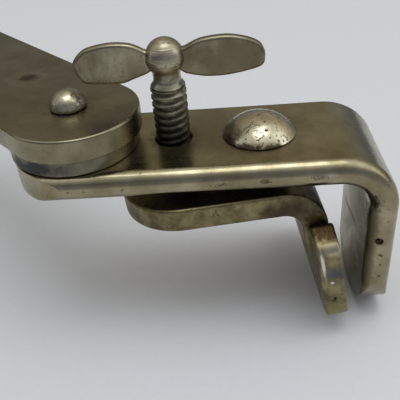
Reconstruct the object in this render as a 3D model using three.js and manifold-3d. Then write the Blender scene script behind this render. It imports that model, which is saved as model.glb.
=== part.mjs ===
// Lever-jaw hook clamp on a riveted swing arm, nickel-plated steel.
// Millimetres, +Z up. The origin is the middle of the fixed jaw's flat inner face: the strap runs
// away from it along -X, and the wing screw stands up along +Z.
import * as THREE from 'three';
import { mergeVertices } from 'three/addons/utils/BufferGeometryUtils.js';
import Module from 'manifold-3d';

const wasm = await Module();
wasm.setup();

// ---- driving dimensions -------------------------------------------------------------------
const FIT = 0.3; // clearance round a shank or between a turned piece and its neighbour
const LIE = 0.1; // film left between flat faces that slide on each other

// hook strap: 3/4 in bar with fully rounded edges
const BAR_WIDTH = 19.05;
const BAR_THICK = 3.8;
const STRAP_TOP = 17; // top face above the origin
const BEND_INNER = 4.3;
const STRAP_END_RADIUS = 9.2;
const STRAP_END_SHIFT = -0.65; // arc centre past the pivot
const LEG_TIP_RADIUS = 9.3;
const LEG_TIP_DROP = 1.9; // arc centre below the origin
const PIT_RADIUS = 0.55; // small blind pit in the leg's front edge
const PIT_HEIGHT = 4.25;
const PIT_BACK = 1.35; // pit's axis behind the jaw face

// hole positions, measured back from the fixed jaw's face
const FULCRUM_BACK = 14;
const SCREW_BACK = 25.75;
const PIVOT_BACK = 39.35;

// swing arm and the washer under it
const ARM_WIDTH = 18.15;
const ARM_THICK = 3.35;
const ARM_EASE = 0.4; // broken edges
const ARM_END_RADIUS = 9.1;
const ARM_END_SHIFT = 0.7; // arc centre past the pivot
const ARM_REACH = 50; // pivot to fixing hole
const ARM_HOLE_RADIUS = 2.6;
const ARM_HEADING = 133.5; // degrees from +X, as pictured
const WASHER_RADIUS = 8.85;
const WASHER_THICK = 2.15;

// rivets
const PIVOT_SHANK = 1.59; // 1/8 in
const PIVOT_DOME_RADIUS = 2.5;
const PIVOT_DOME_HEIGHT = 2.4;
const PIVOT_FOOT_RADIUS = 2.7;
const PIVOT_FOOT_HEIGHT = 1.1;
const FULCRUM_SHANK = 2.38; // 3/16 in
const FULCRUM_DOME_RADIUS = 5.05;
const FULCRUM_DOME_HEIGHT = 2.8;
const FULCRUM_FOOT_RADIUS = 3.6;
const FULCRUM_FOOT_HEIGHT = 1.3;

// lever jaw: flat lever, bent down at the jaw end, where it spreads into a wide pad
const LEVER_THICK = 3.55;
const LEVER_WIDTH = 16.9;
const LEVER_DROP = 1.44; // strap underside to lever top, at the fulcrum
const LEVER_TILT = 3.3; // degrees, tail end down
const LEVER_SWIVEL = 4; // degrees, tail end toward the front
const LEVER_TAIL = 19.9; // fulcrum to tail tip
const LEVER_FLAT = 1.7; // fulcrum to the start of the bend
const LEVER_HOLE = 3.0; // radius, loose round the fulcrum shank
const LEVER_EASE = 0.45; // broken edges
const FINGER_BEND_OUTER = 6.2;
const FINGER_LEAN = 6; // degrees past square, toward the fixed jaw
const PAD_HALF = 12.75; // half-width
const PAD_RISE = 0.8; // ears' upper edge above the end of the bend
const PAD_NOTCH = 2.6; // where the neck runs out into the pad, below the end of the bend
const PAD_STEP = 0.42; // pad's face in front of the neck's
const PAD_HEIGHT = 15.2;
const PAD_THICK = 3.2;
const PAD_SHOULDER = 2; // how far the ears' upper edge slopes down to its outer corner
const PAD_TOP_CORNER = 1.8;
const PAD_LOW_CORNER = 2.4;
const ROCKER_RADIUS = 3.45; // domed washer under the lever
const ROCKER_CREST = 2.75; // radius of its highest ring
const ROCKER_THICK = 1.3;
const ROCKER_SLOPE = 34; // degrees, outward from the crest
const ROCKER_GAP = 0.45; // room for the lever to rock at the crest

// wing screw: 3/16 in, 24 threads to the inch
const THREAD_RADIUS = 2.38;
const THREAD_PITCH = 25.4 / 24;
const THREAD_DEPTH = 0.62;
const THREAD_TOP = 7.95; // above the strap's top face
const THREAD_FOOT = -4.75;
const NECK_RADIUS = 1.8;
const NECK_HEIGHT = 8.75;
const BALL_RADIUS = 2.54;
const BALL_HEIGHT = 11.62;
const WING_THICK = 1.3;
const WING_WEB = 2.4; // height of the strip that passes through the ball
const BUTTON_RADIUS = 1.75;
// wing outlines: distance from the screw axis, height above the strap's top face
const LEFT_WING = [
  [-2.4, 12.68], [-4.15, 13.59], [-6.6, 13.89], [-9.2, 13.56], [-10.6, 13.0], [-11.75, 11.76],
  [-11.6, 10.39], [-11.3, 9.54], [-10.4, 8.78], [-6.2, 8.48], [-4.15, 9.04], [-2.5, 9.61],
];
const RIGHT_WING = [
  [2.5, 9.36], [4.9, 8.81], [7.5, 8.77], [10.1, 9.13], [12.3, 9.79], [12.7, 10.96],
  [12.55, 11.89], [11.9, 12.83], [10.2, 13.59], [7.76, 14.02], [4.64, 13.74], [2.57, 12.85],
];

// ---- derived -------------------------------------------------------------------------------
const BEND_OUTER = BEND_INNER + BAR_THICK;
const STRAP_UNDER = STRAP_TOP - BAR_THICK;
const ARM_UNDER = STRAP_TOP + WASHER_THICK + LIE;
const LEVER_TOP = STRAP_UNDER - LEVER_DROP;
const rad = THREE.MathUtils.degToRad;
const LEVER_UNDER = LEVER_TOP - LEVER_THICK / Math.cos(rad(LEVER_TILT));

// ---- helpers -------------------------------------------------------------------------------
function toSolid(geometry) {
  const bare = geometry.index ? geometry.toNonIndexed() : geometry.clone();
  bare.deleteAttribute('normal');
  bare.deleteAttribute('uv');
  const merged = mergeVertices(bare, 1e-4);
  const vertProperties = new Float32Array(merged.attributes.position.array);
  const triVerts = new Uint32Array(merged.index.array);
  return new wasm.Manifold(new wasm.Mesh({ numProp: 3, vertProperties, triVerts }));
}

function toGeometry(solid) {
  const mesh = solid.getMesh();
  const geometry = new THREE.BufferGeometry();
  geometry.setAttribute('position', new THREE.BufferAttribute(mesh.vertProperties, 3));
  geometry.setIndex(new THREE.BufferAttribute(mesh.triVerts, 1));
  geometry.computeVertexNormals();
  return geometry;
}

function named(name, solid, color, roughness, metalness) {
  const material = new THREE.MeshStandardMaterial({ color, roughness, metalness });
  const mesh = new THREE.Mesh(toGeometry(solid), material);
  mesh.name = name;
  return mesh;
}

// stadium or rounded rectangle: x is the width, y the thickness
function section(width, thick, ease) {
  const [a, b] = [width / 2, thick / 2];
  const shape = new THREE.Shape();
  shape.moveTo(-a + ease, -b);
  shape.lineTo(a - ease, -b);
  shape.absarc(a - ease, -b + ease, ease, -Math.PI / 2, 0);
  shape.absarc(a - ease, b - ease, ease, 0, Math.PI / 2);
  shape.lineTo(-a + ease, b);
  shape.absarc(-a + ease, b - ease, ease, Math.PI / 2, Math.PI);
  shape.absarc(-a + ease, -b + ease, ease, Math.PI, Math.PI * 1.5);
  return shape;
}

// straight length of bar from x0 to x1, its top face at z = 0
function bar(x0, x1, width, thick, ease) {
  const shape = section(width, thick, ease);
  const geometry = new THREE.ExtrudeGeometry(shape, {
    depth: x1 - x0, bevelEnabled: false, curveSegments: 5,
  });
  const toX = new THREE.Matrix4().makeBasis(
    new THREE.Vector3(0, 1, 0), new THREE.Vector3(0, 0, 1), new THREE.Vector3(1, 0, 0));
  geometry.applyMatrix4(toX);
  geometry.translate(x0, 0, -thick / 2);
  return toSolid(geometry);
}

function prism(shape, z0, z1, curveSegments = 32) {
  const geometry = new THREE.ExtrudeGeometry(shape, {
    depth: z1 - z0, bevelEnabled: false, curveSegments,
  });
  geometry.translate(0, 0, z0);
  return toSolid(geometry);
}

// upright cylinder or cone between two heights
function post(x, y, z0, z1, radius, topRadius = radius, segments = 40) {
  const geometry = new THREE.CylinderGeometry(topRadius, radius, z1 - z0, segments);
  geometry.rotateX(Math.PI / 2);
  geometry.translate(x, y, (z0 + z1) / 2);
  return toSolid(geometry);
}

// turned piece: profile points are [radius, height], from axis to axis
function turned(points, segments = 40) {
  const profile = points.map(([r, z]) => new THREE.Vector2(r, z));
  const geometry = new THREE.LatheGeometry(profile, segments);
  geometry.rotateX(Math.PI / 2);
  return toSolid(geometry);
}

// points of a spherical cap from its rim (radius, z0) to the axis
function cap(radius, height, z0, steps = 7) {
  const ball = (radius * radius + height * height) / (2 * Math.abs(height));
  const half = Math.asin(Math.min(1, radius / ball));
  const open = Math.abs(height) > radius ? Math.PI - half : half;
  const points = [];
  for (let i = 0; i <= steps; i += 1) {
    const angle = open * (1 - i / steps);
    const rise = ball * (Math.cos(angle) - Math.cos(open)) * Math.sign(height);
    points.push([i === steps ? 0 : ball * Math.sin(angle), z0 + rise]);
  }
  return points;
}

class ArcDown extends THREE.Curve {
  // quarter-like arc in the XZ plane that starts along +X and turns down
  constructor(x, z, radius, sweep) {
    super();
    Object.assign(this, { x, z, radius, sweep });
  }

  getPoint(t, target = new THREE.Vector3()) {
    const angle = this.sweep * t;
    return target.set(
      this.x + this.radius * Math.sin(angle), 0, this.z + this.radius * Math.cos(angle));
  }

  getTangent(t, target = new THREE.Vector3()) {
    const angle = this.sweep * t;
    return target.set(Math.cos(angle), 0, -Math.sin(angle));
  }
}

// bar swept round a bend about the Y-parallel line at (x, z)
function bentBar(x, z, inner, width, thick, ease, sweep, steps) {
  const flat = section(width, thick, ease);
  const points = flat.getPoints(5).map((p) => new THREE.Vector2(p.y, p.x));
  const shape = new THREE.Shape(points.reverse());
  const geometry = new THREE.ExtrudeGeometry(shape, {
    steps, bevelEnabled: false, extrudePath: new ArcDown(x, z, inner + thick / 2, sweep),
  });
  return toSolid(geometry);
}

// tongue outline along X: straight sides from x0, an arc of the given radius at the far end
function tongue(x0, x1, centre, radius, width) {
  const shape = new THREE.Shape();
  const side = Math.sign(x1 - x0);
  const reach = Math.min(width / 2, radius - 1e-3);
  const lean = Math.asin(reach / radius);
  shape.moveTo(x0, -side * width / 2);
  shape.lineTo(centre + side * radius * Math.cos(lean), -side * width / 2);
  if (side > 0) shape.absarc(centre, 0, radius, -lean, lean, false);
  else shape.absarc(centre, 0, radius, Math.PI - lean, Math.PI + lean, false);
  shape.lineTo(x0, side * width / 2);
  return shape;
}

// ---- pieces --------------------------------------------------------------------------------
function hookStrap() {
  const endX = -PIVOT_BACK - STRAP_END_SHIFT;
  const bendX = BAR_THICK - BEND_OUTER;
  const bendZ = STRAP_TOP - BEND_OUTER;
  const over = 0.03;
  const flat = bar(endX - STRAP_END_RADIUS - 1, bendX + over, BAR_WIDTH, BAR_THICK, BAR_THICK / 2)
    .translate([0, 0, STRAP_TOP]);
  const plan = tongue(10, endX, endX, STRAP_END_RADIUS, BAR_WIDTH + 1);
  const trimmed = flat.intersect(prism(plan, STRAP_UNDER - 1, STRAP_TOP + 1, 40));
  const bend = bentBar(bendX, bendZ, BEND_INNER, BAR_WIDTH, BAR_THICK, BAR_THICK / 2,
    Math.PI / 2, 10);
  const legEnd = LEG_TIP_DROP + LEG_TIP_RADIUS;
  const leg = bar(-bendZ - over, legEnd + 1, BAR_WIDTH, BAR_THICK, BAR_THICK / 2);
  const tip = prism(tongue(-bendZ - 1, legEnd, LEG_TIP_DROP, LEG_TIP_RADIUS, BAR_WIDTH + 1),
    -BAR_THICK - 1, 1, 40);
  const down = leg.intersect(tip).rotate([0, 90, 0]).translate([BAR_THICK, 0, 0]);
  const pit = post(0, 0, -1, 0.7, PIT_RADIUS, PIT_RADIUS, 16).rotate([-90, 0, 0])
    .translate([PIT_BACK, -BAR_WIDTH / 2, PIT_HEIGHT]);
  let strap = trimmed.add(bend).add(down).subtract(pit);
  strap = strap.subtract(
    post(-SCREW_BACK, 0, STRAP_UNDER - 1, STRAP_TOP + 1, THREAD_RADIUS + FIT));
  strap = strap.subtract(
    post(-SCREW_BACK, 0, STRAP_TOP - 0.5, STRAP_TOP + 0.1,
      THREAD_RADIUS + 0.2, THREAD_RADIUS + 0.5));
  strap = strap.subtract(
    post(-FULCRUM_BACK, 0, STRAP_UNDER - 1, STRAP_TOP + 1, FULCRUM_SHANK + FIT));
  return strap.subtract(
    post(-PIVOT_BACK, 0, STRAP_UNDER - 1, STRAP_TOP + 1, PIVOT_SHANK + FIT));
}

function swingArm() {
  const far = ARM_REACH + ARM_END_RADIUS;
  const near = -ARM_END_SHIFT - ARM_END_RADIUS;
  const plain = bar(near - 1, far + 1, ARM_WIDTH, ARM_THICK, ARM_EASE)
    .translate([0, 0, ARM_THICK]);
  const nearEnd = tongue(far + 2, -ARM_END_SHIFT, -ARM_END_SHIFT, ARM_END_RADIUS, ARM_WIDTH + 1);
  const farEnd = tongue(near - 2, ARM_REACH, ARM_REACH, ARM_END_RADIUS, ARM_WIDTH + 1);
  return plain
    .intersect(prism(nearEnd, -1, ARM_THICK + 1, 40))
    .intersect(prism(farEnd, -1, ARM_THICK + 1, 40))
    .subtract(post(0, 0, -1, ARM_THICK + 1, PIVOT_SHANK + FIT))
    .subtract(post(ARM_REACH, 0, -1, ARM_THICK + 1, ARM_HOLE_RADIUS));
}

function armWasher() {
  const ring = [
    [0, 0], [WASHER_RADIUS - 0.2, 0], [WASHER_RADIUS, 0.2], [WASHER_RADIUS, WASHER_THICK - 0.2],
    [WASHER_RADIUS - 0.2, WASHER_THICK], [0, WASHER_THICK],
  ];
  return turned(ring, 64).subtract(post(0, 0, -1, WASHER_THICK + 1, PIVOT_SHANK + FIT));
}

// rivet with a low peened foot and a domed head, from the foot's face up
function rivet(shank, foot, footHeight, grip, dome, domeHeight) {
  const outline = [
    ...cap(foot, -footHeight, 0, 5).reverse(),
    [shank, 0],
    [shank, grip],
    ...cap(dome, domeHeight, grip, 9),
  ];
  return turned(outline, 48);
}

function pivotRivet() {
  const grip = ARM_UNDER + ARM_THICK + LIE - STRAP_UNDER;
  return rivet(PIVOT_SHANK, PIVOT_FOOT_RADIUS, PIVOT_FOOT_HEIGHT, grip,
    PIVOT_DOME_RADIUS, PIVOT_DOME_HEIGHT);
}

// the rocker washer's crest lies just under the lever's lowest point over it
const ROCKER_TOP = LEVER_UNDER - ROCKER_CREST * Math.tan(rad(LEVER_TILT)) - ROCKER_GAP;
const ROCKER_UNDER = ROCKER_TOP - ROCKER_THICK;

function fulcrumRivet() {
  const grip = STRAP_TOP - ROCKER_UNDER + LIE;
  return rivet(FULCRUM_SHANK, FULCRUM_FOOT_RADIUS, FULCRUM_FOOT_HEIGHT, grip,
    FULCRUM_DOME_RADIUS, FULCRUM_DOME_HEIGHT);
}

function fulcrumWasher() {
  const ring = [
    [0, 0], [ROCKER_RADIUS - 0.15, 0], [ROCKER_RADIUS, 0.15],
    [ROCKER_RADIUS, ROCKER_THICK - (ROCKER_RADIUS - ROCKER_CREST) * Math.tan(rad(ROCKER_SLOPE))],
    [ROCKER_CREST, ROCKER_THICK], [0, ROCKER_THICK],
  ];
  return turned(ring, 48).subtract(post(0, 0, -1, ROCKER_THICK + 1, FULCRUM_SHANK + FIT));
}

// plate with a rounded outline and broken edges, top face at z = 0
function plate(shape, thick, ease) {
  const geometry = new THREE.ExtrudeGeometry(shape, {
    depth: thick - 2 * ease, bevelEnabled: true, bevelThickness: ease, bevelSize: ease,
    bevelOffset: -ease, bevelSegments: 3, curveSegments: 14,
  });
  geometry.translate(0, 0, ease - thick);
  return toSolid(geometry);
}

// polygon whose corners are curved: each corner is x, y and how far from it its curve starts
function roundedOutline(corners) {
  const shape = new THREE.Shape();
  corners.forEach(([x, y, reach], i) => {
    const here = new THREE.Vector2(x, y);
    const toward = (k) => {
      const [nx, ny] = corners[(k + corners.length) % corners.length];
      return new THREE.Vector2(nx, ny).sub(here).setLength(reach).add(here);
    };
    const [before, after] = [toward(i - 1), toward(i + 1)];
    if (i === 0) shape.moveTo(before.x, before.y);
    else shape.lineTo(before.x, before.y);
    shape.quadraticCurveTo(x, y, after.x, after.y);
  });
  return shape;
}

// pad: x runs down from the end of the bend, y across
function padOutline() {
  const neck = LEVER_WIDTH / 2;
  const top = -PAD_RISE;
  const low = PAD_HEIGHT - PAD_RISE;
  const near = [
    [PAD_NOTCH, -neck + 1.4, 0.9],
    [top, -neck - 0.6, 0.65],
    [top + PAD_SHOULDER, -PAD_HALF, PAD_TOP_CORNER],
    [low, -PAD_HALF, PAD_LOW_CORNER],
  ];
  const far = near.map(([x, y, reach]) => [x, -y, reach]).reverse();
  return roundedOutline([...near, ...far]);
}

// lever in its own axes: x from the fulcrum toward the jaw, y across, top face at z = 0
function leverJaw() {
  const half = LEVER_WIDTH / 2;
  const over = 0.03;
  const flat = plate(tongue(LEVER_FLAT + 2, half - LEVER_TAIL, half - LEVER_TAIL, half,
    LEVER_WIDTH), LEVER_THICK, LEVER_EASE);
  const crop = new THREE.Shape();
  crop.moveTo(-LEVER_TAIL - 1, -half - 1);
  crop.lineTo(LEVER_FLAT + over, -half - 1);
  crop.lineTo(LEVER_FLAT + over, half + 1);
  crop.lineTo(-LEVER_TAIL - 1, half + 1);
  const body = flat.intersect(prism(crop, -LEVER_THICK - 1, 1));
  const sweep = rad(90 - FINGER_LEAN);
  const inner = FINGER_BEND_OUTER - LEVER_THICK;
  const bend = bentBar(LEVER_FLAT, -FINGER_BEND_OUTER, inner, LEVER_WIDTH, LEVER_THICK,
    LEVER_EASE, sweep, 8);
  const pad = plate(padOutline(), PAD_THICK, LEVER_EASE).translate([0, 0, PAD_STEP]);
  const neck = bar(-over, PAD_NOTCH + 2, LEVER_WIDTH, LEVER_THICK, LEVER_EASE);
  const finger = pad.add(neck)
    .translate([0, 0, FINGER_BEND_OUTER])
    .rotate([0, 90 - FINGER_LEAN, 0])
    .translate([LEVER_FLAT, 0, -FINGER_BEND_OUTER]);
  return body.add(bend).add(finger)
    .subtract(post(0, 0, -LEVER_THICK - 2, 2, LEVER_HOLE));
}

// helical thread as one closed grid: rows go up, columns go round
function threadedRod(z0, z1) {
  const columns = 24;
  const rows = Math.round((z1 - z0) / (THREAD_PITCH / 5));
  const positions = [];
  const index = [];
  for (let row = 0; row <= rows; row += 1) {
    const z = z0 + (z1 - z0) * row / rows;
    const fade = Math.min(1, (z - z0) / THREAD_PITCH, (z1 - z) / THREAD_PITCH + 0.35);
    for (let column = 0; column < columns; column += 1) {
      const turn = column / columns;
      const phase = (((z / THREAD_PITCH - turn) % 1) + 1) % 1;
      const crest = 1 - Math.abs(2 * phase - 1);
      const depth = THREAD_DEPTH * (1 - Math.min(1, crest * 1.25) * fade);
      const radius = THREAD_RADIUS - depth;
      const angle = turn * 2 * Math.PI;
      positions.push(radius * Math.cos(angle), radius * Math.sin(angle), z);
    }
  }
  const base = positions.length / 3;
  positions.push(0, 0, z0, 0, 0, z1);
  for (let column = 0; column < columns; column += 1) {
    const next = (column + 1) % columns;
    for (let row = 0; row < rows; row += 1) {
      const [a, b] = [row * columns + column, row * columns + next];
      const [c, d] = [a + columns, b + columns];
      index.push(a, b, d, a, d, c);
    }
    index.push(base, next, column);
    index.push(base + 1, rows * columns + column, rows * columns + next);
  }
  const geometry = new THREE.BufferGeometry();
  geometry.setAttribute('position', new THREE.Float32BufferAttribute(positions, 3));
  geometry.setIndex(index);
  return toSolid(geometry);
}

// slot through the ball for the wings' web, with room all round
function webSlot(grow) {
  const geometry = new THREE.BoxGeometry(8, WING_THICK + 2 * grow, WING_WEB + 2 * grow);
  geometry.translate(0, 0, BALL_HEIGHT);
  return toSolid(geometry);
}

function screwSpindle() {
  const rod = threadedRod(THREAD_FOOT, THREAD_TOP);
  const neckDrop = BALL_HEIGHT - Math.sqrt(BALL_RADIUS ** 2 - NECK_RADIUS ** 2);
  const start = THREAD_RADIUS - 0.25;
  const outline = [
    [0, THREAD_TOP - 0.8], [start - 0.4, THREAD_TOP - 0.8], [start, THREAD_TOP - 0.25],
    [start, THREAD_TOP], [NECK_RADIUS + 0.12, NECK_HEIGHT - 0.55], [NECK_RADIUS, NECK_HEIGHT],
    [NECK_RADIUS + 0.03, NECK_HEIGHT + 0.5],
  ];
  const first = Math.asin((BALL_HEIGHT - neckDrop) / BALL_RADIUS);
  for (let i = 0; i <= 16; i += 1) {
    const angle = -first + (Math.PI / 2 + first) * i / 16;
    const r = i === 16 ? 0 : BALL_RADIUS * Math.cos(angle);
    outline.push([r, BALL_HEIGHT + BALL_RADIUS * Math.sin(angle)]);
  }
  return rod.add(turned(outline, 36)).subtract(webSlot(FIT));
}

// one wing: a leaf-shaped plate that runs a little way into the ball
function wing(points) {
  const side = Math.sign(points[0][0]);
  const curve = new THREE.SplineCurve(points.map(([x, z]) => new THREE.Vector2(x, z)));
  const rim = curve.getPoints(30);
  const root = [
    new THREE.Vector2(side * 1.5, rim[rim.length - 1].y),
    new THREE.Vector2(side * 1.5, rim[0].y),
  ];
  const outline = new THREE.Shape([...rim, ...root]);
  const ease = 0.3;
  const geometry = new THREE.ExtrudeGeometry(outline, {
    depth: WING_THICK - 2 * ease, bevelEnabled: true, bevelThickness: ease, bevelSize: ease,
    bevelOffset: -ease, bevelSegments: 2,
  });
  geometry.translate(0, 0, ease - WING_THICK / 2);
  geometry.rotateX(Math.PI / 2);
  return toSolid(geometry);
}

function thumbWings() {
  const keepOut = new THREE.SphereGeometry(BALL_RADIUS + FIT, 32, 20);
  keepOut.translate(0, 0, BALL_HEIGHT);
  const web = new THREE.BoxGeometry(2 * BALL_RADIUS + 2, WING_THICK - 0.1, WING_WEB);
  web.translate(0, 0, BALL_HEIGHT);
  return wing(LEFT_WING).add(wing(RIGHT_WING)).subtract(toSolid(keepOut)).add(toSolid(web));
}

// thrust button under the screw: its rounded foot bears on the lever's tail
const BUTTON_FOOT = LEVER_TOP - (SCREW_BACK - FULCRUM_BACK) * Math.tan(rad(LEVER_TILT)) + 0.15;

function screwTipButton() {
  const top = STRAP_TOP + THREAD_FOOT - LIE - BUTTON_FOOT;
  const outline = [
    ...cap(BUTTON_RADIUS, -0.3, 0.3, 5).reverse(),
    [BUTTON_RADIUS, top - 0.15], [BUTTON_RADIUS - 0.15, top], [0, top],
  ];
  return turned(outline, 32);
}

// ---- assembly ------------------------------------------------------------------------------
const group = new THREE.Group();

function place(mesh, x, y, z) {
  mesh.position.set(x, y, z);
  group.add(mesh);
  return mesh;
}

place(named('hook_strap', hookStrap(), 0x8f886f, 0.34, 0.9), 0, 0, 0);

const arm = place(named('swing_arm', swingArm(), 0x857e68, 0.36, 0.9), -PIVOT_BACK, 0, ARM_UNDER);
arm.rotation.z = rad(ARM_HEADING);
place(named('arm_washer', armWasher(), 0x6f7274, 0.42, 0.85), -PIVOT_BACK, 0, STRAP_TOP);
place(named('pivot_rivet', pivotRivet(), 0x9a927a, 0.3, 0.9), -PIVOT_BACK, 0, STRAP_UNDER);

place(named('fulcrum_rivet', fulcrumRivet(), 0xa09270, 0.28, 0.9),
  -FULCRUM_BACK, 0, ROCKER_UNDER - LIE);
place(named('fulcrum_washer', fulcrumWasher(), 0x7c7868, 0.45, 0.85),
  -FULCRUM_BACK, 0, ROCKER_UNDER);

const swivel = new THREE.Group();
swivel.position.set(-FULCRUM_BACK, 0, LEVER_TOP);
swivel.rotation.z = rad(LEVER_SWIVEL);
group.add(swivel);
const lever = named('lever_jaw', leverJaw(), 0x857a5e, 0.4, 0.88);
lever.rotation.y = -rad(LEVER_TILT);
swivel.add(lever);

place(named('screw_spindle', screwSpindle(), 0x8a826a, 0.34, 0.9), -SCREW_BACK, 0, STRAP_TOP);
place(named('thumb_wings', thumbWings(), 0x979072, 0.36, 0.88), -SCREW_BACK, 0, STRAP_TOP);
place(named('screw_tip_button', screwTipButton(), 0x77705c, 0.45, 0.85),
  -SCREW_BACK, 0, BUTTON_FOOT);

export default group;
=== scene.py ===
"""Worn nickel-plated hook clamp: a wing screw, a rocking lever jaw and a riveted swing arm.

Sizes are in millimetres in the classes and become metres in the meshes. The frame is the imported
model's: the origin is on the hook's flat inner face, the strap runs along -X, and +Z is up.
"""
import logging
import math
from dataclasses import dataclass
from enum import Enum
from typing import Any

import bmesh
import bpy
from mathutils import Matrix, Vector


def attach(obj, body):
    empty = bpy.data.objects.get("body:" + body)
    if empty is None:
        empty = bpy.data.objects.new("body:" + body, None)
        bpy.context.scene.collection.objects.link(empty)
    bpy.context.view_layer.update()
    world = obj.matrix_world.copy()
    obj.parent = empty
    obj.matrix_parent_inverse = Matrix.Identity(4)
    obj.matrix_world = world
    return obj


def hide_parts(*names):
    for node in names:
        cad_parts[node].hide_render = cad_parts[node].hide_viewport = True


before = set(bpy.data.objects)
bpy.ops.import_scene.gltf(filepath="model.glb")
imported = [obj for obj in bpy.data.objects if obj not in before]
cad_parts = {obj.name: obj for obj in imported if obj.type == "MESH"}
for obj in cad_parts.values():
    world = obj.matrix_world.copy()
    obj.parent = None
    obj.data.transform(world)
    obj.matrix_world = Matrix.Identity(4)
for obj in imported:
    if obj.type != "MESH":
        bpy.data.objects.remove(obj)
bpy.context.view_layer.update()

logging.basicConfig(level=logging.INFO, format="%(name)s: %(message)s")
LOG = logging.getLogger("clamp")

Point = tuple[float, float]
Point3 = tuple[float, float, float]
Mesh, Vert, Edge = bmesh.types.BMesh, bmesh.types.BMVert, bmesh.types.BMEdge
Piece, Socket = bpy.types.Object, bpy.types.NodeSocket

MM = 0.001

# Places and sizes that several pieces share.
STRAP_TOP = 17.0
STRAP_THICK = 3.8
SCREW_X = -25.75
FULCRUM_X = -14.0
PIVOT_X = -39.35
PIVOT_HOLE = 1.89  # radius, in the strap, the washer and the arm
FULCRUM_HOLE = 2.68  # radius, in the strap and the rocker washer
PLAY = 0.1  # between faces that touch on the real clamp

# How meshes are worked.
WELD = 1e-4  # points nearer than this become one
HAIR = 1e-5  # edges shorter than this are dropped
DRILL_FLATS = 64
CUTTER_FLATS = 144
CUTTER_RUN = 90.0  # length of a cutter's straight sides
PAST = 1.0  # how far a drill runs past a face
EASE_FLATS = 3
NORMAL_WEIGHT = 80


class Cut(Enum):
    """How one solid acts on another."""

    REMOVE = "DIFFERENCE"
    KEEP_INSIDE = "INTERSECT"
    JOIN = "UNION"


# ---- mesh work ----
def only(kind: type, items: list[Any]) -> list[Any]:
    """Elements of one kind out of an operator's result."""
    return [item for item in items if isinstance(item, kind)]


def at(x: float, z: float = 0.0) -> Matrix:
    """Shift to a place on the strap's centre plane."""
    return Matrix.Translation((x, 0, z))


def spun(degrees: float, axis: str) -> Matrix:
    """Turn round one of the axes."""
    return Matrix.Rotation(math.radians(degrees), 4, axis)


def bar_section(bm: Mesh, width: float, thick: float, ease: float, arc: int = 9) -> list[Edge]:
    """Draws a bar's rounded cross-section in the YZ plane, round the X axis.

    Args:
        bm: mesh that takes the loop.
        width: size along Y.
        thick: size along Z.
        ease: corner radius; half the thickness gives a full-round edge.
        arc: points in each corner.

    Returns:
        The loop's edges.
    """
    ring = bmesh.ops.create_circle(bm, segments=4 * arc, radius=ease,
                                   matrix=spun(90, "Y") @ spun(45 / arc, "Z"))["verts"]
    for vert in ring:
        vert.co.y += math.copysign(width / 2 - ease, vert.co.y)
        vert.co.z += math.copysign(thick / 2 - ease, vert.co.z)
    return list({edge for vert in ring for edge in vert.link_edges})


def push(bm: Mesh, loop: list[Edge], move: Point3 | Vector) -> list[Edge]:
    """Extrudes an open loop straight along a vector.

    Args:
        bm: mesh that holds the loop.
        loop: edges at the open end.
        move: how far the new end lies from it.

    Returns:
        The edges of the new end.
    """
    made = bmesh.ops.extrude_edge_only(bm, edges=loop)["geom"]
    verts = set(only(Vert, made))
    bmesh.ops.translate(bm, verts=list(verts), vec=move)
    return [e for e in only(Edge, made) if verts.issuperset(e.verts)]


def bend(bm: Mesh, loop: list[Edge], centre: Point3, degrees: float, steps: int) -> list[Edge]:
    """Turns an open loop round a line along Y, downward at the +X end.

    Args:
        bm: mesh that holds the loop.
        loop: edges at the open end.
        centre: a point on the bend's axis.
        degrees: angle of the bend.
        steps: rings in the bend.

    Returns:
        The edges of the new end.
    """
    verts = list({vert for edge in loop for vert in edge.verts})
    made = bmesh.ops.spin(bm, geom=verts + loop, cent=centre, axis=(0, 1, 0), dvec=(0, 0, 0),
                          angle=math.radians(degrees), space=Matrix(), steps=steps)
    return only(Edge, made["geom_last"])


def trim(bm: Mesh, point: Point3, outward: Point3) -> None:
    """Cuts away what lies on a plane's outward side and leaves the cut open."""
    bmesh.ops.bisect_plane(bm, geom=[*bm.verts, *bm.edges, *bm.faces], dist=HAIR,
                           plane_co=point, plane_no=outward, clear_outer=True)


def close_ends(bm: Mesh) -> None:
    """Fills every open loop with one face."""
    rims = [edge for edge in bm.edges if edge.is_boundary]
    bmesh.ops.holes_fill(bm, edges=rims, sides=0)


def helix(profile: list[Point], steps: int, turns: int = 1, rise: float = 0.0) -> Mesh:
    """Spins a profile of (radius, height) points round the Z axis while it climbs.

    Args:
        profile: points of the line that is spun.
        steps: flats in one turn.
        turns: full turns.
        rise: climb in one turn, 0 for a plain turned skin.

    Returns:
        A new mesh with the skin.
    """
    bm = bmesh.new()
    verts = [bm.verts.new((radius, 0, height)) for radius, height in profile]
    edges = [bm.edges.new(pair) for pair in zip(verts[:-1], verts[1:])]
    bmesh.ops.spin(bm, geom=verts + edges, cent=(0, 0, 0), axis=(0, 0, 1),
                   dvec=(0, 0, rise / steps), angle=2 * math.pi * turns, space=Matrix(),
                   steps=steps * turns, use_merge=not rise)
    bmesh.ops.remove_doubles(bm, verts=bm.verts, dist=WELD)
    return bm


def lathe(profile: list[Point], steps: int) -> Mesh:
    """Turns a solid round the Z axis.

    Args:
        profile: (radius, height) points; they close, or start and end on the axis.
        steps: flats round the turn.

    Returns:
        A new mesh with the turned skin.
    """
    bm = helix(profile, steps)
    bmesh.ops.dissolve_degenerate(bm, edges=bm.edges, dist=HAIR)
    return bm


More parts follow.
